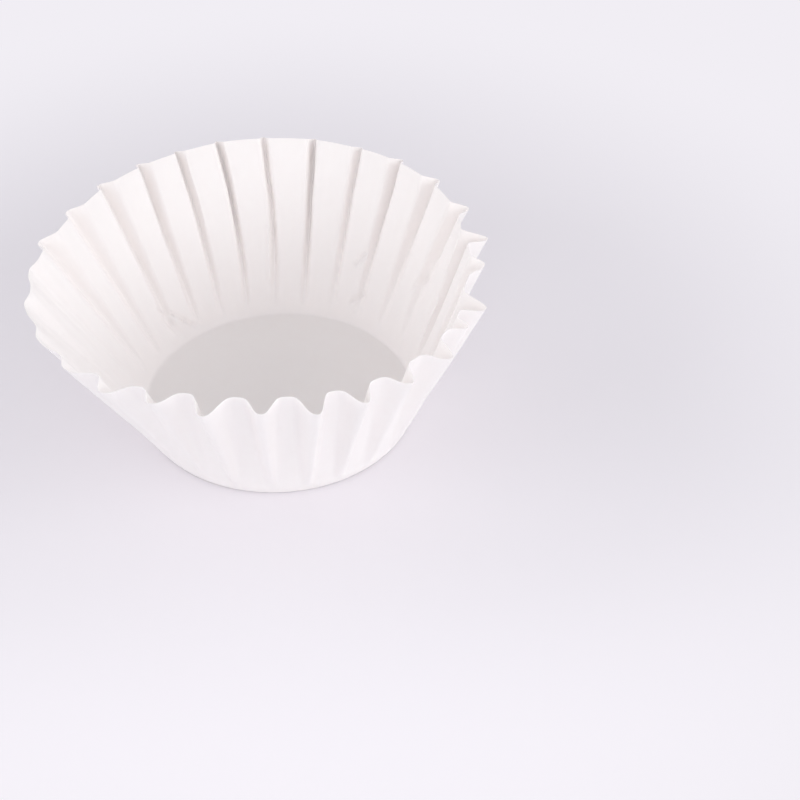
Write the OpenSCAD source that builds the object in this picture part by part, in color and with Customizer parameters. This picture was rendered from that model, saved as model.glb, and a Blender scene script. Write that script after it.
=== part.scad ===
// Fluted basket filter, pressed from one flat disc of filter paper.
// The origin is the centre of the base's underside, with +Z up and out of the open mouth.
// The wall is a thin shell: a middle surface, with half the paper's thickness on each side.

/* [Sheet] */
// Diameter of the flat disc of paper
disc_d = 250; // [200:1:320]
// Diameter of the flat base
base_d = 108; // [90:1:130]
// Thickness of the paper
paper_t = 0.2; // [0.16:0.01:0.35]
// How far the disc's centre lies from the base's centre, which makes the wall longer on one side
press_shift = 4; // [0:0.5:6]

/* [Wall] */
// Slope of the wall above the table, in degrees
wall_slope = 64.5; // [54:0.5:70]
// Radius of the bend between the base and the wall
bend_r = 1.6; // [0.8:0.1:4]
// How much flatter the wall lies on the side that it leans over, in degrees
lean = 5.5; // [0:0.5:8]
// Direction in which the wall leans and is longest, counted anticlockwise from +X, in degrees
lean_dir = 128; // [0:1:360]
// How much the rim is drawn out to an oval, as a change of slope in degrees
oval = 1.8; // [0:0.1:4]
// Direction in which the oval is longest, in degrees
oval_dir = 44; // [0:1:180]
// How much the slope also wanders in and out three times round, in degrees
wander = 2.4; // [0:0.1:4]
// Direction of the first steep stretch of the three, in degrees
wander_dir = 14; // [0:1:120]

/* [Flutes] */
// Number of flutes round the wall
flutes = 28; // [20:1:32]
// Direction of the first fold, in degrees
first_dir = 15.4; // [0:0.1:20]
// Depth of a flute at the rim, from its inner face to the crest of its outward fold
flute_depth = 7.2; // [4:0.1:9]
// Half width of an outward fold at the rim, as a share of the distance between two folds
fold_share = 0.24; // [0.2:0.01:0.32]
// Width of a fold at the foot of the wall, compared with its width at the rim
foot_width = 0.6; // [0.4:0.05:1]
// Shape of the fold's crest: 1 is a knife edge and 2 is round
fold_round = 2; // [1.4:0.1:2]
// How far the panel between two folds bulges inward, as a share of the flute's depth
belly = 0.05; // [0:0.01:0.2]
// How much tighter the folds are pinched on one side than on the others
pinch = 0.7; // [0:0.05:0.7]
// Direction of the tightly pinched side, in degrees
pinch_dir = 94; // [0:1:360]
// How far the pinch reaches to either side, in degrees
pinch_reach = 60; // [20:5:90]
// How much of the pinch is left at the foot of the wall
pinch_foot = 0.35; // [0:0.05:1]
// Direction of the soft side, where the folds are shallower and wider, in degrees
soft_dir = 192; // [0:1:360]
// How far the soft side reaches either way, in degrees
soft_reach = 32; // [20:2:60]
// How much shallower the folds are in the middle of the soft side
soft_depth = 0.5; // [0:0.05:0.7]
// How much wider the folds are there
soft_width = 0.35; // [0:0.05:0.5]
// Height of the smooth band of wall above the base, along the slope
smooth_band = 3; // [1:0.5:8]
// How the depth grows up the wall: 1 is straight, and less is quicker near the base
depth_growth = 0.7; // [0.6:0.05:1.3]
// How much closer together the folds are on the side that the wall leans over
crowding = 0.08; // [0:0.01:0.2]
// How much one flute differs from the next in width
uneven_width = 0.05; // [0:0.01:0.15]
// How much one flute differs from the next in depth
uneven_depth = 0.14; // [0:0.01:0.25]

/* [Hidden] */

// Points along one flute, and how strongly they gather at the folds
flute_points = 12;
gather = 1.6;
// Rows of points up the wall: two round the bend, then at these shares of the fluted height
bend_rows = 2;
wall_rows = [0, 0.12, 0.34, 0.66, 1];
// The flutes' differences follow a sine with this step between flutes, and these starts
spread_step = 77;
width_start = 285;
depth_start = 40;
// Step used to find the surface's direction
probe = 0.01;

columns = flutes * flute_points;
rows = 1 + bend_rows + len(wall_rows);

// Slope of the wall in the direction a
function slope(a) =
    wall_slope - lean * cos(a - lean_dir) - oval * cos(2 * (a - oval_dir))
    + wander * cos(3 * (a - wander_dir));

// Length of the bend round its arc, and of the straight edge that the arc takes from the corner
function arc_length(a) = bend_r * slope(a) * PI / 180;
function tangent_length(a) = bend_r * tan(slope(a) / 2);

// Radius at which the flat base ends and the bend starts
function flat_r(a) = base_d / 2 - tangent_length(a);

// Length of paper from the start of the bend to the rim
function sheet_length(a) = disc_d / 2 + press_shift * cos(a - lean_dir) - flat_r(a);

// Length of paper from the start of the bend to the first sign of a flute
function plain_length(a) = arc_length(a) + smooth_band;

// Radius, height and slope of the smooth wall, at the length s of paper past the base
function wall_line(s, a) =
    let (b = slope(a), turned = min(s, arc_length(a)) / bend_r * 180 / PI,
         straight = max(0, s - arc_length(a)))
    [flat_r(a) + bend_r * sin(turned) + straight * cos(b),
     bend_r * (1 - cos(turned)) + straight * sin(b),
     turned];

// Direction of the fold at count i, with its own small shift, before the crowding
function fold_at(i) =
    first_dir + (i + uneven_width * sin(spread_step * (i % flutes) + width_start)) * 360 / flutes;

// Direction of the point at share t of the way from fold i to the next one
function direction(i, t) =
    let (even = fold_at(i) + (fold_at(i + 1) - fold_at(i)) * t)
    even - crowding * 180 / PI * sin(even - lean_dir);

// Depth of the fold at count i, compared with the usual depth
function fold_size(i) = 1 + uneven_depth * sin(2 * spread_step * (i % flutes) + depth_start);

// Nearness of the direction a to the middle of a side: 1 there, and falling off over its reach
function nearness(a, side_dir, reach) =
    exp(-pow(2 * sin((a - side_dir) / 2) * 180 / PI / reach, 2));

// Share of the pinch at the height share h
function closing(h) = 1 - (1 - pinch_foot) * pow(1 - h, 2);

// Half width of the fold at count i and the height share h, as a share of the distance to the next one
function fold_width(i, h) =
    let (a = direction(i, 0))
    fold_share * (1 - pinch * closing(h) * nearness(a, pinch_dir, pinch_reach))
    * (1 + soft_width * nearness(a, soft_dir, soft_reach)) * (foot_width + (1 - foot_width) * h);

// Depth of the flutes at the height share h in the direction a
function depth_at(h, a) =
    flute_depth * pow(h, depth_growth) * (1 - soft_depth * nearness(a, soft_dir, soft_reach));

// Height of one fold, at the share t of the way from its crest to the next one
function crest(i, t, h) = fold_size(i) * exp(-pow(t / fold_width(i, h), fold_round));

// Height of the flute's profile at share t: 1 on the folds and about 0 on the broad inner face
function profile(i, t, h) = crest(i, t, h) + crest(i + 1, 1 - t, h) - belly * 4 * t * (1 - t);

// Share of the fluted height at the length s of paper past the base
function height_share(s, a) =
    max(0, s - plain_length(a)) / (sheet_length(a) - plain_length(a));

// Point of the paper's middle surface, at length s in flute i at share t
function middle(s, i, t) =
    let (a = direction(i, t), w = wall_line(s, a), h = height_share(s, a),
         out = depth_at(h, a) * (profile(i, t, h) - 0.5),
         r = w[0] + out * sin(w[2]))
    [r * cos(a), r * sin(a), w[1] - out * cos(w[2]) + paper_t / 2];

// Point just before the share t in flute i, which on a fold lies in the flute before it
function before(s, i, t) =
    t > 0 ? middle(s, i, t - probe) : middle(s, i + flutes - 1, 1 - probe);

// Half the paper's thickness along the outward normal there
function half_paper(s, i, t) =
    let (up = middle(s + probe, i, t) - middle(s - probe, i, t),
         along = middle(s, i, t + probe) - before(s, i, t),
         n = cross(along, up))
    n / norm(n) * paper_t / 2;

// Length of paper at row j, from the start of the bend to the rim
function row_length(j, a) =
    j <= bend_rows ? arc_length(a) * j / bend_rows
    : plain_length(a) + (sheet_length(a) - plain_length(a)) * wall_rows[j - bend_rows - 1];

// Share of the flute at its point k, with the points gathered at both folds
function share(k) =
    let (x = 2 * k / flute_points)
    x <= 1 ? pow(x, gather) / 2 : 1 - pow(2 - x, gather) / 2;

// Points of one row, side 1 outside the cup and side -1 inside it
function row(j, side) =
    [for (i = [0:flutes - 1], k = [0:flute_points - 1])
        let (t = share(k), s = row_length(j, direction(i, t)))
        j == 0
            ? let (a = direction(i, t)) [flat_r(a) * cos(a), flat_r(a) * sin(a), (1 - side) * paper_t / 2]
            : middle(s, i, t) + side * half_paper(s, i, t)];

module filter_paper() {
    side_points = rows * columns;
    shell = [for (side = [1, -1], j = [0:rows - 1], p = row(j, side)) p];
    centres = [[0, 0, 0], [0, 0, paper_t]];
    walls = [for (side = [0, 1], j = [0:rows - 2], c = [0:columns - 1])
        let (d = (c + 1) % columns, low = side * side_points + j * columns, high = low + columns,
             quad = [low + c, low + d, high + d, high + c])
        each side == 0
            ? [[quad[0], quad[3], quad[2]], [quad[0], quad[2], quad[1]]]
            : [[quad[0], quad[1], quad[2]], [quad[0], quad[2], quad[3]]]];
    rim = [for (c = [0:columns - 1])
        let (d = (c + 1) % columns, outside = (rows - 1) * columns, inside = outside + side_points)
        each [[outside + c, inside + c, inside + d], [outside + c, inside + d, outside + d]]];
    base = [for (c = [0:columns - 1])
        let (d = (c + 1) % columns)
        each [[2 * side_points, c, d], [2 * side_points + 1, side_points + d, side_points + c]]];
    color([0.97, 0.96, 0.94]) polyhedron(concat(shell, centres), concat(walls, rim, base), 4);
}

filter_paper();
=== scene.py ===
"""Fluted basket coffee filter of creped white paper, laid out as an add-on and run as a script."""
from math import cos, pi, radians, sin

import bpy
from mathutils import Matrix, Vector


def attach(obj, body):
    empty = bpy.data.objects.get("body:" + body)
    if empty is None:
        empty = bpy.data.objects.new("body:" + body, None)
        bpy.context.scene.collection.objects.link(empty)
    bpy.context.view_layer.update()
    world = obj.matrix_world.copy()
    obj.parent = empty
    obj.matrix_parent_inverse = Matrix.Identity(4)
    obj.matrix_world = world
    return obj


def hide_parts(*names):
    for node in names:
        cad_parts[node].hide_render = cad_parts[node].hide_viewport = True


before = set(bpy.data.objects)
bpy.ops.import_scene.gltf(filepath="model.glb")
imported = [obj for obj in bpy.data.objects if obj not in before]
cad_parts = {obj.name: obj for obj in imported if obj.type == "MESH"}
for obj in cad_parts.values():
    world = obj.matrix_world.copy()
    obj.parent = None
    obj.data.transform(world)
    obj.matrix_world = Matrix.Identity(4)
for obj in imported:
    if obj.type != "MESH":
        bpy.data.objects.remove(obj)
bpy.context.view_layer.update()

bl_info = {
    "name": "Fluted basket coffee filter",
    "version": (1, 0, 0),
    "blender": (4, 5, 0),
    "location": "3D View > Sidebar > Filter",
    "description": "A flat-bottomed paper coffee filter, pressed from one disc, on a pale studio floor",
    "category": "Add Mesh",
}

MM = 0.001
NODE = "filter_paper"

# The photograph's frame, in pixels, and the camera that fits the base's ellipse and the rim
IMAGE = 800
SENSOR = 36.0
FOCAL_PX = 1700
CAMERA_TILT = radians(41.8)
BASE_AT_PX = (280.3, 398.5)
PIXEL_AT_BASE = 0.4029 * MM

# The flutes differ by sines with this step from one to the next, and these starts
SPREAD_STEP = radians(77)
WIDTH_START = radians(285)
DEPTH_START = radians(40)

# Points gather at the folds with this power
GATHER = 1.4

# The sheet lies this much above the floor, so that its underside and the floor aren't in one plane
LIFT = 0.02 * MM

# Points closer than this are joined, which closes the sheet at its centre
JOIN = 0.001 * MM

# Added before a share of a count is rounded down, so that a whole number stays whole
ROUNDING = 0.001

# Long wrinkles: how fast they follow each other round the wall, their length up it, and the height up the
# slope over which they and the creases grow out of the smooth base
WRINKLES_ROUND = 14
WRINKLE_LENGTH = 45 * MM
WRINKLE_START = 4 * MM

# The folds stray to the sides: how fast the strays follow each other round the wall, and their length up it
SWAYS_ROUND = 6
SWAY_LENGTH = 22 * MM
# The strays turn the sheet no faster than they do at this radius
SWAY_R = 10 * MM

# Crumple: the size of its dents, its growth up the wall, and how much that eases off towards the rim
CRUMPLE_SIZE = 28 * MM
CRUMPLE_GROWTH = 1.5
CRUMPLE_EASE = 0.35

# The strays and the crumple take patterns that lie this far from the wrinkles' seed
SWAY_SEED = 3
CRUMPLE_SEED = 7

# Edges that are sharper than this aren't shaded smooth
SHARP_ANGLE = radians(55)

# Small creases from handling: each runs from one place to another on the wall, given as a direction in
# degrees and a height up the slope in mm, and goes so many mm outward with so many mm of half width
CREASES = (
    ((145.2, 18.5), (140.5, 13.0), 1.2, 0.9),
    ((140.5, 13.0), (136.7, 7.7), 1.1, 0.9),
    ((136.7, 7.7), (133.5, 4.2), 1.0, 1.0),
    ((133.5, 4.2), (127.0, 1.5), 1.0, 1.0),
    ((145.0, 13.0), (140.0, 2.5), 1.2, 1.7),
    ((63.2, 25.0), (60.0, 30.5), 1.2, 0.9),
    ((61.5, 8.7), (57.0, 14.0), 1.1, 0.9),
    ((32.7, 28.2), (29.2, 35.2), 0.9, 0.9),
    ((31.2, 43.0), (28.0, 51.0), 0.8, 1.1),
    ((18.5, 37.2), (19.0, 17.0), 1.0, 1.3),
    ((97.0, 37.0), (97.5, 14.0), -0.9, 0.8),
)
# Radius of the wall about where the creases are
CREASE_R = 62 * MM

# Folds that bow to one side half-way up: the direction in degrees, and the way anticlockwise in mm
STRAYS = ((119.0, -1.2), (107.5, -2.2), (94.5, -1.8), (31.0, 2.6))
STRAY_REACH = radians(6)

# Folds that were pressed deeper or less deep than the rule has them: direction in degrees, and by what share
PRESSED = (
    (46.0, 0.22), (31.0, 0.12), (17.0, 0.45), (4.5, -0.1), (-13.0, 0.2), (-23.0, -0.2),
    (155.1, 0.15), (167.1, 0.1), (178.5, -0.15), (130.3, 0.1),
)
PRESSED_REACH = radians(5)

# Folds that lie off their even place: direction in degrees, and the way anticlockwise in degrees
SHIFTED = ((-9.0, -7.0), (19.0, -3.0), (34.0, -2.0))
SHIFTED_REACH = radians(12)

# The paper's own pattern: how far apart its crepe lines lie and how far each runs before it fades, the grain
# of its fibres, drawn a little coarser than real, and the clouds of its uneven pulp
CREPE_STEP = 0.9 * MM
CREPE_LENGTH = 5 * MM
FIBRE_STEP = 0.5 * MM
CLOUD_SIZE = 6 * MM
# Height of the crepe and the fibres
RELIEF = 0.15 * MM
# How far light goes into the paper. That is more than the sheet's thickness, so some comes out behind it
LIGHT_DEPTH = 0.4 * MM

# Half the side of the floor. The camera sees it with a painted glow, painted light that grows towards it
# between two distances in front of the filter, and sees it turn into a plain backdrop between two distances
# from the filter's middle
FLOOR_HALF = 4.0
GLOW_FROM, GLOW_TO = 20 * MM, 200 * MM
GLOW_FAR, GLOW_NEAR = 0.05, 0.2
PLAIN_FROM, PLAIN_TO = 140 * MM, 320 * MM

# Softboxes: name, azimuth and elevation in degrees, and power in watts. The other sizes are in metres
LAMPS = (
    ("front_softbox", 270, 22, 3.0),
    ("right_front_softbox", -45, 22, 2.5),
    ("right_softbox", -15, 22, 4.3),
    ("right_back_softbox", 35, 25, 1.0),
    ("left_back_softbox", 155, 25, 1.6),
    ("left_softbox", 205, 22, 3.9),
)
LAMP_DISTANCE = 1.6
LAMP_SIZE = 0.9
DOME_STRENGTH = 0.74


def linear(code):
    """An sRGB hex colour such as "F4F0EE", as the linear values that Blender's sockets take."""
    parts = [int(code[i:i + 2], 16) / 255 for i in (0, 2, 4)]
    return tuple(p / 12.92 if p <= 0.04045 else ((p + 0.055) / 1.055) ** 2.4 for p in parts) + (1.0,)


def add_node(tree, kind, settings=None, links=None, output=0):
    """Adds one node with its settings, links or sets its inputs, and gives the output asked for."""
    node = tree.nodes.new(kind)
    for name, value in (settings or {}).items():
        setattr(node, name, value)
    for name, value in (links or {}).items():
        value = value.value if isinstance(value, Term) else value
        if isinstance(value, bpy.types.NodeSocket):
            tree.links.new(value, node.inputs[name])
        else:
            node.inputs[name].default_value = value
    return node.outputs[output]


class Term:
    """A number or a socket in a node tree. Formulas of terms are written as usual, one Math node a step."""

    def __init__(self, tree, value):
        self.tree = tree
        self.value = value

    def step(self, operation, *others):
        links = dict(enumerate((self, *others)))
        return Term(self.tree, add_node(self.tree, "ShaderNodeMath", {"operation": operation}, links))

    def __add__(self, other):
        return self.step("ADD", other)

    def __sub__(self, other):
        return self.step("SUBTRACT", other)

    def __rsub__(self, other):
        return Term(self.tree, other).step("SUBTRACT", self)

    def __mul__(self, other):
        return self.step("MULTIPLY", other)

    def __truediv__(self, other):
        return self.step("DIVIDE", other)

    def __pow__(self, other):
        return self.step("POWER", other)

    def __mod__(self, other):
        return self.step("FLOORED_MODULO", other)

    __radd__ = __add__
    __rmul__ = __mul__

    def sin(self):
        return self.step("SINE")

    def cos(self):
        return self.step("COSINE")

    def exp(self):
        return self.step("EXPONENT")

    def clamp(self, low, high):
        return self.step("MAXIMUM", low).step("MINIMUM", high)


class FilterSettings(bpy.types.PropertyGroup):
    """Sizes of the filter. Lengths are in metres and angles in radians."""

    disc_d: bpy.props.FloatProperty(
        name="Disc diameter", description="Flat disc of paper that the filter is pressed from",
        default=250 * MM, unit="LENGTH")
    base_d: bpy.props.FloatProperty(
        name="Base diameter", description="Flat base", default=108 * MM, unit="LENGTH")
    paper_t: bpy.props.FloatProperty(
        name="Paper thickness", description="Thickness of the sheet", default=0.2 * MM, unit="LENGTH")
    press_shift: bpy.props.FloatProperty(
        name="Press shift", description="Distance from the disc's centre to the base's centre",
        default=4 * MM, unit="LENGTH")
    wall_slope: bpy.props.FloatProperty(
        name="Wall slope", description="Slope of the wall above the table",
        default=radians(64.5), subtype="ANGLE")
    bend_r: bpy.props.FloatProperty(
        name="Bend radius", description="Bend between the base and the wall",
        default=1.6 * MM, unit="LENGTH")
    lean: bpy.props.FloatProperty(
        name="Lean", description="How much flatter the wall lies on the side that it leans over",
        default=radians(5.5), subtype="ANGLE")
    lean_dir: bpy.props.FloatProperty(
        name="Lean direction", description="Side where the wall leans over and is longest",
        default=radians(128), subtype="ANGLE")
    oval: bpy.props.FloatProperty(
        name="Oval", description="Change of slope that draws the rim out to an oval",
        default=radians(1.8), subtype="ANGLE")
    oval_dir: bpy.props.FloatProperty(
        name="Oval direction", description="Long way of the oval", default=radians(44), subtype="ANGLE")
    wander: bpy.props.FloatProperty(
        name="Wander", description="Change of slope three times round the soft rim",
        default=radians(2.4), subtype="ANGLE")
    wander_dir: bpy.props.FloatProperty(
        name="Wander direction", description="First of the three steep stretches",
        default=radians(14), subtype="ANGLE")
    flutes: bpy.props.IntProperty(name="Flutes", description="Flutes round the wall", default=28)
    first_dir: bpy.props.FloatProperty(
        name="First fold", description="Direction of the first fold",
        default=radians(15.4), subtype="ANGLE")
    flute_depth: bpy.props.FloatProperty(
        name="Flute depth", description="Depth at the rim, from inner face to outer fold",
        default=7.2 * MM, unit="LENGTH")
    fold_share: bpy.props.FloatProperty(
        name="Fold width", description="Half width of an outward fold at the rim, as a share of a flute",
        default=0.22, subtype="FACTOR")
    foot_width: bpy.props.FloatProperty(
        name="Foot width", description="Width of a fold at the foot of the wall, compared with the rim",
        default=0.6, subtype="FACTOR")
    fold_round: bpy.props.FloatProperty(
        name="Fold roundness", description="1 is a knife edge, 2 is round and more is blunt", default=2.7)
    skew: bpy.props.FloatProperty(
        name="Skew", description="How much the folds at the left and right lean to the back",
        default=0.5, subtype="FACTOR")
    belly: bpy.props.FloatProperty(
        name="Belly", description="Inward bulge of the panel between two folds, as a share of the depth",
        default=0.05, subtype="FACTOR")
    pinch: bpy.props.FloatProperty(
        name="Pinch", description="How much tighter the folds are on one side",
        default=0.7, subtype="FACTOR")
    pinch_dir: bpy.props.FloatProperty(
        name="Pinch direction", description="Side with the tight folds",
        default=radians(94), subtype="ANGLE")
    pinch_reach: bpy.props.FloatProperty(
        name="Pinch reach", description="How far the tight folds reach to either side",
        default=radians(60), subtype="ANGLE")
    pinch_foot: bpy.props.FloatProperty(
        name="Pinch foot", description="How much of the pinch is left at the foot of the wall",
        default=0.35, subtype="FACTOR")
    soft_dir: bpy.props.FloatProperty(
        name="Soft direction", description="Side where the folds are shallower and wider",
        default=radians(200), subtype="ANGLE")
    soft_reach: bpy.props.FloatProperty(
        name="Soft reach", description="How far the soft side and the late side reach either way",
        default=radians(30), subtype="ANGLE")
    soft_depth: bpy.props.FloatProperty(
        name="Soft depth", description="How much shallower the folds are in the middle of the soft side",
        default=0.7, subtype="FACTOR")
    soft_width: bpy.props.FloatProperty(
        name="Soft width", description="How much wider the folds are there",
        default=0.7, subtype="FACTOR")
    soft_rise: bpy.props.FloatProperty(
        name="Soft rise", description="How much later the folds grow up the wall there",
        default=1.4, subtype="FACTOR")
    late_dir: bpy.props.FloatProperty(
        name="Late direction", description="Side where the folds are firm but also grow later up the wall",
        default=radians(28), subtype="ANGLE")
    late_rise: bpy.props.FloatProperty(
        name="Late rise", description="How much later the folds grow up the wall on that side",
        default=0.7, subtype="FACTOR")
    smooth_band: bpy.props.FloatProperty(
        name="Smooth band", description="Wall above the base without flutes",
        default=3 * MM, unit="LENGTH")
    depth_growth: bpy.props.FloatProperty(
        name="Depth growth", description="1 grows evenly up the wall, less is quicker at first",
        default=0.7)
    crowding: bpy.props.FloatProperty(
        name="Crowding", description="How much closer the folds are where the wall leans over",
        default=0.08, subtype="FACTOR")
    uneven_width: bpy.props.FloatProperty(
        name="Uneven width", description="Difference in width from flute to flute",
        default=0.05, subtype="FACTOR")
    uneven_depth: bpy.props.FloatProperty(
        name="Uneven depth", description="Difference in depth from flute to flute",
        default=0.14, subtype="FACTOR")
    wrinkle: bpy.props.FloatProperty(
        name="Wrinkles", description="Height of the long wrinkles that run up the wall",
        default=0.5 * MM, unit="LENGTH")
    sway: bpy.props.FloatProperty(
        name="Sway", description="How far a fold strays sideways on its way up the wall",
        default=1.5 * MM, unit="LENGTH")
    crumple: bpy.props.FloatProperty(
        name="Crumple", description="How far the soft sheet wanders from its rule",
        default=1.6 * MM, unit="LENGTH")
    seed: bpy.props.IntProperty(name="Seed", description="Pattern of wrinkles and crumple", default=3)
    flute_points: bpy.props.IntProperty(
        name="Points a flute", description="Points across one flute", default=24)
    base_rows: bpy.props.IntProperty(name="Base rows", description="Rows across the base", default=3)
    bend_rows: bpy.props.IntProperty(name="Bend rows", description="Rows round the bend", default=3)
    wall_rows: bpy.props.IntProperty(name="Wall rows", description="Rows up the wall", default=64)


def rule_inputs(tree, settings):
    """Gives the tree one named input for each setting, and returns them as terms."""
    for name in FilterSettings.__annotations__:
        whole = isinstance(getattr(settings, name), int)
        tree.interface.new_socket(
            name, in_out="INPUT", socket_type="NodeSocketInt" if whole else "NodeSocketFloat")
    tree.interface.new_socket("Geometry", in_out="OUTPUT", socket_type="NodeSocketGeometry")
    group = tree.nodes.new("NodeGroupInput")
    return {s.name: Term(tree, s) for s in group.outputs if s.name}


def nearness(turn, side, reach):
    """1 in the direction of the side, falling off over its reach."""
    away = ((turn - side) / 2).sin() * 2 / reach
    return (0 - away * away).exp()


def fold_terms(i, v):
    """Direction, height, half widths to both sides and share of pinch of the outward fold number i."""
    own = i % v["flutes"]
    even = v["first_dir"] + (i + v["uneven_width"] * (own * SPREAD_STEP + WIDTH_START).sin()) \
        * (2 * pi) / v["flutes"]
    size = 1 + v["uneven_depth"] * (own * (2 * SPREAD_STEP) + DEPTH_START).sin()
    turned = even - v["crowding"] * (even - v["lean_dir"]).sin()
    width = v["fold_share"] * (1 + v["soft_width"] * nearness(turned, v["soft_dir"], v["soft_reach"]))
    tilt = v["skew"] * turned.cos()
    pinch = v["pinch"] * nearness(turned, v["pinch_dir"], v["pinch_reach"])
    return even, size, width * (1 - tilt), width * (1 + tilt), pinch


def crease_term(turn, radius, up, start, stop, deep, wide):
    """How far one crease moves the sheet outward, by its distance on the wall from the crease's line."""
    (dir_a, up_a), (dir_b, up_b) = start, stop
    run = (radians(dir_b - dir_a) * CREASE_R, (up_b - up_a) * MM)
    length = (run[0] ** 2 + run[1] ** 2) ** 0.5
    x = ((turn - radians(dir_a)) / 2).sin() * 2 * radius
    y = up - up_a * MM
    along = ((x * run[0] + y * run[1]) / length ** 2).clamp(0.0, 1.0)
    away = ((x - along * run[0]) ** 2 + (y - along * run[1]) ** 2) / wide ** 2
    return (0 - away).exp() * deep


def seeded_noise(tree, place, seed, scale, detail, roughness, output=0):
    """Noise whose pattern changes with the seed."""
    return add_node(tree, "ShaderNodeTexNoise", {"noise_dimensions": "4D"}, {
        "Vector": place, "W": seed, "Scale": scale, "Detail": detail, "Roughness": roughness}, output)


def wall_noise(tree, turn, up, rounds, length, seed, detail, roughness):
    """Noise on the wall, drawn out up it to this length, and from about -0.5 to 0.5."""
    place = add_node(tree, "ShaderNodeCombineXYZ", {}, {
        "X": turn.cos() * rounds, "Y": turn.sin() * rounds, "Z": up / length})
    return Term(tree, seeded_noise(tree, place, seed, 1.0, detail, roughness)) - 0.5


def sheet_grid(tree, v):
    """A grid of points, with each point's flute, its share of the flute and its shares of the three zones."""
    columns = v["flutes"] * v["flute_points"]
    rows = v["base_rows"] + v["bend_rows"] + v["wall_rows"]
    blank = add_node(tree, "GeometryNodeMeshCylinder", {"fill_type": "NONE"}, {
        "Vertices": columns, "Side Segments": rows, "Radius": 1.0, "Depth": 1.0})
    index = Term(tree, add_node(tree, "GeometryNodeInputIndex"))
    column = index % columns
    row = (index / columns).step("FLOOR")
    flute = (column / v["flute_points"] + ROUNDING).step("FLOOR")
    even_share = (column % v["flute_points"]) / v["flute_points"]
    side = even_share * 2 - 1
    share = 0.5 + 0.5 * side.step("SIGN") * (1 - (1 - side.step("ABSOLUTE")) ** GATHER)
    base_part = (row / v["base_rows"]).clamp(0.0, 1.0)
    bend_part = ((row - v["base_rows"]) / v["bend_rows"]).clamp(0.0, 1.0)
    wall_part = ((row - v["base_rows"] - v["bend_rows"]) / v["wall_rows"]).clamp(0.0, 1.0)
    return blank, flute, share, base_part, bend_part, wall_part


def fold_profile(near_fold, far_fold, share, fluted, v):
    """Height of the flute's profile: 1 on the folds and about 0 on the inner face between them."""
    near_size, near_width, _, near_pinch = near_fold
    far_size, _, far_width, far_pinch = far_fold
    narrow = v["foot_width"] + (1 - v["foot_width"]) * fluted
    closing = 1 - (1 - v["pinch_foot"]) * (1 - fluted) ** 2
    near_open = near_width * (1 - near_pinch * closing) * narrow
    far_open = far_width * (1 - far_pinch * closing) * narrow
    near_crest = near_size * (0 - (share / near_open) ** v["fold_round"]).exp()
    far_crest = far_size * (0 - ((1 - share) / far_open) ** v["fold_round"]).exp()
    return near_crest + far_crest - v["belly"] * 4 * share * (1 - share)


def fold_depth(turn, fluted, v):
    """Depth of the flutes at a height in one direction."""
    soft_side = nearness(turn, v["soft_dir"], v["soft_reach"])
    late_side = nearness(turn, v["late_dir"], v["soft_reach"])
    grown = fluted ** (v["depth_growth"] * (1 + v["soft_rise"] * soft_side + v["late_rise"] * late_side))
    pressed = 1 - v["soft_depth"] * soft_side
    for direction, more in PRESSED:
        pressed = pressed + more * nearness(turn, radians(direction), PRESSED_REACH)
    return v["flute_depth"] * grown * pressed


def crumpled(tree, sheet, wall_part, v):
    """The soft sheet, which wanders a little from its rule, and more towards the free rim."""
    here = add_node(tree, "GeometryNodeInputPosition")
    soft = seeded_noise(tree, here, v["seed"] + CRUMPLE_SEED, 1 / CRUMPLE_SIZE, 1.5, 0.5, "Color")
    centred = add_node(tree, "ShaderNodeVectorMath", {"operation": "SUBTRACT"}, {
        0: soft, 1: (0.5, 0.5, 0.5)})
    reach = v["crumple"] * wall_part * (1 - wall_part * CRUMPLE_EASE) * CRUMPLE_GROWTH
    push = add_node(tree, "ShaderNodeVectorMath", {"operation": "SCALE"}, {
        0: centred, "Scale": reach})
    return add_node(tree, "GeometryNodeSetPosition", {}, {"Geometry": sheet, "Offset": push})


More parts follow.
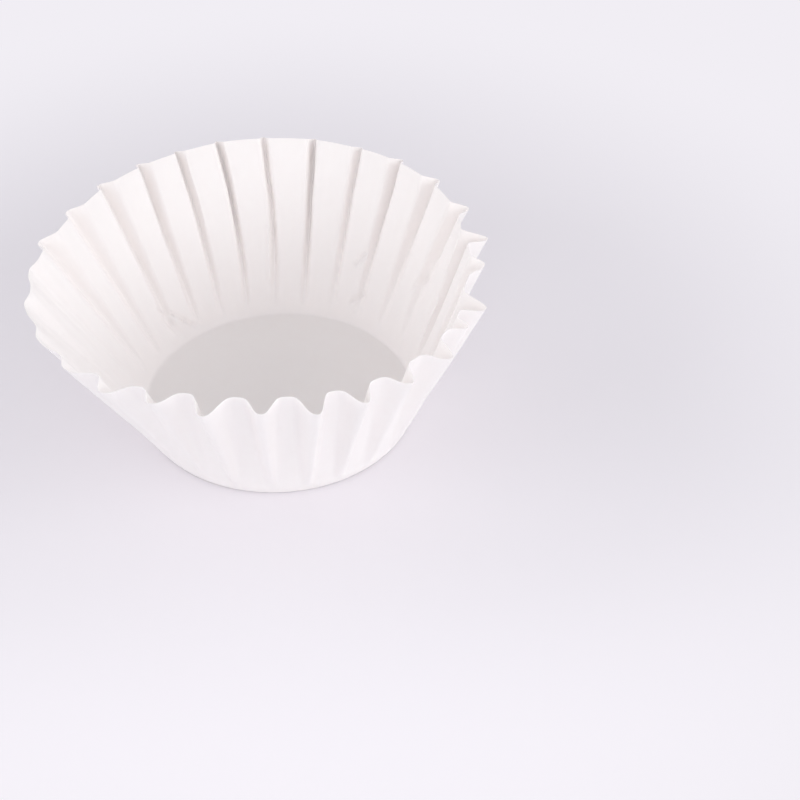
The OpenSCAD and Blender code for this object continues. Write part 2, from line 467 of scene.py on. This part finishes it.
def filter_tree(settings, material):
    """Builds the tree that makes the sheet's middle surface: base, bend and fluted wall."""
    tree = bpy.data.node_groups.new("fluted_filter_rule", "GeometryNodeTree")
    v = rule_inputs(tree, settings)
    blank, flute, share, base_part, bend_part, wall_part = sheet_grid(tree, v)

    # The direction of the point, between the folds on its two sides
    near_dir, *near_fold = fold_terms(flute, v)
    far_dir, *far_fold = fold_terms(flute + 1, v)
    even = near_dir + (far_dir - near_dir) * share
    turn = even - v["crowding"] * (even - v["lean_dir"]).sin()
    for direction, shift in SHIFTED:
        turn = turn + radians(shift) * nearness(turn, radians(direction), SHIFTED_REACH)

    # The smooth line from the middle of the base to the rim in that direction
    slope = v["wall_slope"] - v["lean"] * (turn - v["lean_dir"]).cos() \
        - v["oval"] * (2 * (turn - v["oval_dir"])).cos() \
        + v["wander"] * (3 * (turn - v["wander_dir"])).cos()
    arc = v["bend_r"] * slope
    flat = v["base_d"] / 2 - v["bend_r"] * (slope / 2).step("TANGENT")
    wall = v["disc_d"] / 2 + v["press_shift"] * (turn - v["lean_dir"]).cos() - flat - arc
    bent = slope * bend_part
    straight = wall * wall_part
    radius = flat * base_part + v["bend_r"] * bent.sin() + straight * slope.cos()
    height = v["bend_r"] * (1 - bent.cos()) + straight * slope.sin()

    # How far the sheet lies out from that line: the flutes, the long wrinkles and the creases
    fluted = (straight - v["smooth_band"]).step("MAXIMUM", 0.0) / (wall - v["smooth_band"])
    out = fold_depth(turn, fluted, v) * (fold_profile(near_fold, far_fold, share, fluted, v) - 0.5)
    rise = (straight / WRINKLE_START).clamp(0.0, 1.0)
    streak = wall_noise(tree, turn, straight, WRINKLES_ROUND, WRINKLE_LENGTH, v["seed"], 2.0, 0.55)
    out = out + v["wrinkle"] * streak * rise
    for start, stop, deep, wide in CREASES:
        out = out + crease_term(turn, radius, straight, start, stop, deep * MM, wide * MM) * rise

    # How far the folds stray to the sides on their way up
    astray = wall_noise(tree, turn, straight, SWAYS_ROUND, SWAY_LENGTH, v["seed"] + SWAY_SEED, 1.0, 0.5)
    aside = v["sway"] * astray * wall_part
    for direction, stray in STRAYS:
        bow = 4 * wall_part * (1 - wall_part) * stray * MM
        aside = aside + bow * nearness(turn, radians(direction), STRAY_REACH)
    turn = turn + aside / radius.step("MAXIMUM", SWAY_R)
    place = add_node(tree, "ShaderNodeCombineXYZ", {}, {
        "X": (radius + out * bent.sin()) * turn.cos(),
        "Y": (radius + out * bent.sin()) * turn.sin(),
        "Z": height - out * bent.cos() + v["paper_t"] / 2 + LIFT})
    shaped = add_node(tree, "GeometryNodeSetPosition", {}, {"Geometry": blank, "Position": place})
    moved = crumpled(tree, shaped, wall_part, v)

    # The place of each point in the flat disc, for the paper's own crepe
    length = flat * base_part + arc * bend_part + straight
    sheet = add_node(tree, "ShaderNodeCombineXYZ", {}, {
        "X": length * even.cos(), "Y": length * even.sin(), "Z": 0.0})
    stored = add_node(tree, "GeometryNodeStoreNamedAttribute",
                      {"data_type": "FLOAT_VECTOR", "domain": "POINT"},
                      {"Geometry": moved, "Name": "sheet", "Value": sheet})
    closed = add_node(tree, "GeometryNodeMergeByDistance", {}, {"Geometry": stored, "Distance": JOIN})
    smooth = add_node(tree, "GeometryNodeSetShadeSmooth", {}, {"Geometry": closed})
    real = add_node(tree, "GeometryNodeRealizeInstances", {}, {"Geometry": smooth})
    covered = add_node(tree, "GeometryNodeSetMaterial", {}, {"Geometry": real, "Material": material})
    end = tree.nodes.new("NodeGroupOutput")
    tree.links.new(covered, end.inputs[0])
    return tree


def filter_paper_material():
    """Creped filter paper: bleached softwood fibre, wet-creped on a drum and left uncoated.

    It is matt and a warm white, and thin enough that light shines through it. Fine crepe lines run
    straight across the flat disc, and short fibres give it a faint cloudy grain.
    """
    material = bpy.data.materials.new("creped_filter_paper")
    material.use_nodes = True
    tree = material.node_tree
    tree.nodes.clear()
    sheet = add_node(tree, "ShaderNodeAttribute", {"attribute_name": "sheet"}, {}, "Vector")
    across = add_node(tree, "ShaderNodeMapping", {}, {
        "Vector": sheet, "Scale": (1 / CREPE_LENGTH, 1 / CREPE_STEP, 1.0)})
    crepe = add_node(tree, "ShaderNodeTexNoise", {}, {
        "Vector": across, "Scale": 1.0, "Detail": 3.0, "Roughness": 0.55})
    fibre = add_node(tree, "ShaderNodeTexNoise", {}, {
        "Vector": sheet, "Scale": 1 / FIBRE_STEP, "Detail": 2.0, "Roughness": 0.6})
    relief = add_node(tree, "ShaderNodeMix", {"data_type": "FLOAT"}, {
        0: 0.35, 2: crepe, 3: fibre})
    bump = add_node(tree, "ShaderNodeBump", {}, {
        "Strength": 0.35, "Distance": RELIEF, "Height": relief})
    cloud = add_node(tree, "ShaderNodeTexNoise", {}, {
        "Vector": sheet, "Scale": 1 / CLOUD_SIZE, "Detail": 4.0, "Roughness": 0.6})
    tone = add_node(tree, "ShaderNodeMix", {"data_type": "RGBA"}, {
        0: cloud, 6: linear("FBF5F3"), 7: linear("FEFAF8")}, 2)
    shader = add_node(tree, "ShaderNodeBsdfPrincipled", {}, {
        "Base Color": tone, "Roughness": 0.88, "Specular IOR Level": 0.25, "Normal": bump,
        "Subsurface Weight": 0.6, "Subsurface Radius": (1.0, 1.0, 1.0), "Subsurface Scale": LIGHT_DEPTH})
    end = tree.nodes.new("ShaderNodeOutputMaterial")
    tree.links.new(shader, end.inputs["Surface"])
    return material


def build_filter(settings):
    """Makes the filter's sheet by the rule, gives it its thickness, hangs it on the root body and hides its
    CAD node.
    """
    material = filter_paper_material()
    tree = filter_tree(settings, material)
    maker = bpy.data.objects.new("filter_maker", bpy.data.meshes.new("filter_maker"))
    bpy.context.scene.collection.objects.link(maker)
    rule = maker.modifiers.new("rule", "NODES")
    rule.node_group = tree
    for socket in tree.interface.items_tree:
        if socket.in_out == "INPUT":
            rule[socket.identifier] = getattr(settings, socket.name)
    thick = maker.modifiers.new("thickness", "SOLIDIFY")
    thick.thickness = settings.paper_t
    thick.offset = 0.0
    thick.use_even_offset = False
    found = maker.evaluated_get(bpy.context.evaluated_depsgraph_get())
    mesh = bpy.data.meshes.new_from_object(found)
    maker.modifiers.clear()
    bpy.data.objects.remove(maker)
    mesh.name = "pressed_filter_sheet"
    mesh.set_sharp_from_angle(angle=SHARP_ANGLE)
    piece = bpy.data.objects.new("pressed_filter_sheet", mesh)
    bpy.context.scene.collection.objects.link(piece)
    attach(piece, "root")
    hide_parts(NODE)
    return piece


def floor_material():
    """Matt seamless studio paper: pale lavender, with no gloss, and painted light on it that only the camera
    sees.
    """
    material = bpy.data.materials.new("studio_paper_sweep")
    material.use_nodes = True
    tree = material.node_tree
    tree.nodes.clear()
    base = add_node(tree, "ShaderNodeBsdfDiffuse", {}, {"Color": linear("E9E7EC")})
    seen = add_node(tree, "ShaderNodeLightPath", {}, {}, "Is Camera Ray")
    # Painted light: the sweep glows brighter close to the camera, and is plain far away, where the lamps'
    # pools would show on it
    place = add_node(tree, "ShaderNodeTexCoord", {}, {}, "Object")
    depth = add_node(tree, "ShaderNodeSeparateXYZ", {}, {"Vector": place}, "Y")
    painted_front_glow = add_node(tree, "ShaderNodeMapRange", {"interpolation_type": "SMOOTHSTEP"}, {
        "Value": depth, "From Min": -GLOW_FROM, "From Max": -GLOW_TO,
        "To Min": GLOW_FAR, "To Max": GLOW_NEAR})
    # Painted light: a glow on the sweep that only the camera sees, stronger towards the front
    painted_light = add_node(tree, "ShaderNodeEmission", {}, {"Color": linear("F2EFF3"), "Strength": painted_front_glow})
    both = add_node(tree, "ShaderNodeAddShader", {}, {0: base, 1: painted_light})
    away = add_node(tree, "ShaderNodeVectorMath", {"operation": "LENGTH"}, {0: place}, "Value")
    plain = add_node(tree, "ShaderNodeMapRange", {"interpolation_type": "SMOOTHSTEP"}, {
        "Value": away, "From Min": PLAIN_FROM, "From Max": PLAIN_TO})
    backdrop = add_node(tree, "ShaderNodeEmission", {}, {"Color": linear("F1EEF4"), "Strength": 1.0})
    shown = add_node(tree, "ShaderNodeMixShader", {}, {0: plain, 1: both, 2: backdrop})
    mixed = add_node(tree, "ShaderNodeMixShader", {}, {0: seen, 1: base, 2: shown})
    end = tree.nodes.new("ShaderNodeOutputMaterial")
    tree.links.new(mixed, end.inputs["Surface"])
    return material


def build_floor():
    """Makes the sweep of studio paper that the filter stands on."""
    mesh = bpy.data.meshes.new("floor")
    corners = [(x * FLOOR_HALF, y * FLOOR_HALF, 0) for x, y in ((-1, -1), (1, -1), (1, 1), (-1, 1))]
    mesh.from_pydata(corners, [], [(0, 1, 2, 3)])
    mesh.materials.append(floor_material())
    floor = bpy.data.objects.new("floor", mesh)
    bpy.context.scene.collection.objects.link(floor)


def build_lamp(name, azimuth, elevation, power):
    """Makes one round softbox that looks at the filter's base."""
    data = bpy.data.lights.new(name, "AREA")
    data.shape = "DISK"
    data.size = LAMP_SIZE
    data.energy = power
    light = bpy.data.objects.new(name, data)
    a, e = radians(azimuth), radians(elevation)
    light.location = Vector((cos(a) * cos(e), sin(a) * cos(e), sin(e))) * LAMP_DISTANCE
    light.rotation_euler = (-light.location).to_track_quat("-Z", "Y").to_euler()
    bpy.context.scene.collection.objects.link(light)


def build_world():
    """Makes the pale dome: one brightness as light, and the backdrop's colour where it is seen."""
    world = bpy.data.worlds.new("studio")
    bpy.context.scene.world = world
    world.use_nodes = True
    tree = world.node_tree
    tree.nodes.clear()
    path = tree.nodes.new("ShaderNodeLightPath")
    seen = Term(tree, path.outputs["Is Camera Ray"]) + Term(tree, path.outputs["Is Glossy Ray"]) \
        + Term(tree, path.outputs["Is Transmission Ray"])
    dome = add_node(tree, "ShaderNodeBackground", {}, {
        "Color": linear("F6F4F7"), "Strength": DOME_STRENGTH})
    shown = add_node(tree, "ShaderNodeBackground", {}, {"Color": linear("F1EEF4"), "Strength": 1.0})
    mixed = add_node(tree, "ShaderNodeMixShader", {}, {0: seen.clamp(0.0, 1.0), 1: dome, 2: shown})
    end = tree.nodes.new("ShaderNodeOutputWorld")
    tree.links.new(mixed, end.inputs["Surface"])


def build_camera():
    """Makes the camera, from the photograph's frame and the pixel where the base's centre lies."""
    data = bpy.data.cameras.new("camera")
    data.sensor_width = SENSOR
    data.lens = FOCAL_PX / IMAGE * SENSOR
    camera = bpy.data.objects.new("camera", data)
    bpy.context.scene.collection.objects.link(camera)
    forward = Vector((0, cos(CAMERA_TILT), -sin(CAMERA_TILT)))
    up = Vector((0, sin(CAMERA_TILT), cos(CAMERA_TILT)))
    right = Vector((1, 0, 0))
    aside = (BASE_AT_PX[0] - IMAGE / 2) / FOCAL_PX
    above = (IMAGE / 2 - BASE_AT_PX[1]) / FOCAL_PX
    camera.location = -(forward + right * aside + up * above) * FOCAL_PX * PIXEL_AT_BASE
    camera.rotation_mode = "QUATERNION"
    camera.rotation_quaternion = forward.to_track_quat("-Z", "Y")
    data.clip_start = 20 * MM
    data.clip_end = 50
    bpy.context.scene.camera = camera


def build_stage():
    """Makes the floor, the lamps, the world and the camera."""
    build_floor()
    for lamp in LAMPS:
        build_lamp(*lamp)
    build_world()
    build_camera()
    bpy.context.scene.view_settings.view_transform = "Standard"


class MakeFilter(bpy.types.Operator):
    """Make the pressed and fluted sheet of filter paper"""

    bl_idname = "filter.make_sheet"
    bl_label = "Make the filter"

    def execute(self, context):
        build_filter(context.scene.filter_settings)
        return {"FINISHED"}


class MakeStage(bpy.types.Operator):
    """Make the floor, the lamps, the world and the camera"""

    bl_idname = "filter.make_stage"
    bl_label = "Make the stage"

    def execute(self, context):
        build_stage()
        return {"FINISHED"}


class FilterPanel(bpy.types.Panel):
    """Sizes of the filter, and the buttons that make it and its stage"""

    bl_idname = "VIEW3D_PT_basket_filter"
    bl_label = "Basket filter"
    bl_space_type = "VIEW_3D"
    bl_region_type = "UI"
    bl_category = "Filter"

    def draw(self, context):
        settings = context.scene.filter_settings
        for name in FilterSettings.__annotations__:
            self.layout.prop(settings, name)
        self.layout.operator(MakeFilter.bl_idname)
        self.layout.operator(MakeStage.bl_idname)


CLASSES = (FilterSettings, MakeFilter, MakeStage, FilterPanel)


def register():
    for cls in CLASSES:
        bpy.utils.register_class(cls)
    bpy.types.Scene.filter_settings = bpy.props.PointerProperty(type=FilterSettings)


def unregister():
    del bpy.types.Scene.filter_settings
    for cls in reversed(CLASSES):
        bpy.utils.unregister_class(cls)


def main():
    """Makes the filter and its stage."""
    register()
    bpy.ops.filter.make_sheet()
    bpy.ops.filter.make_stage()


if __name__ == "__main__":
    main()
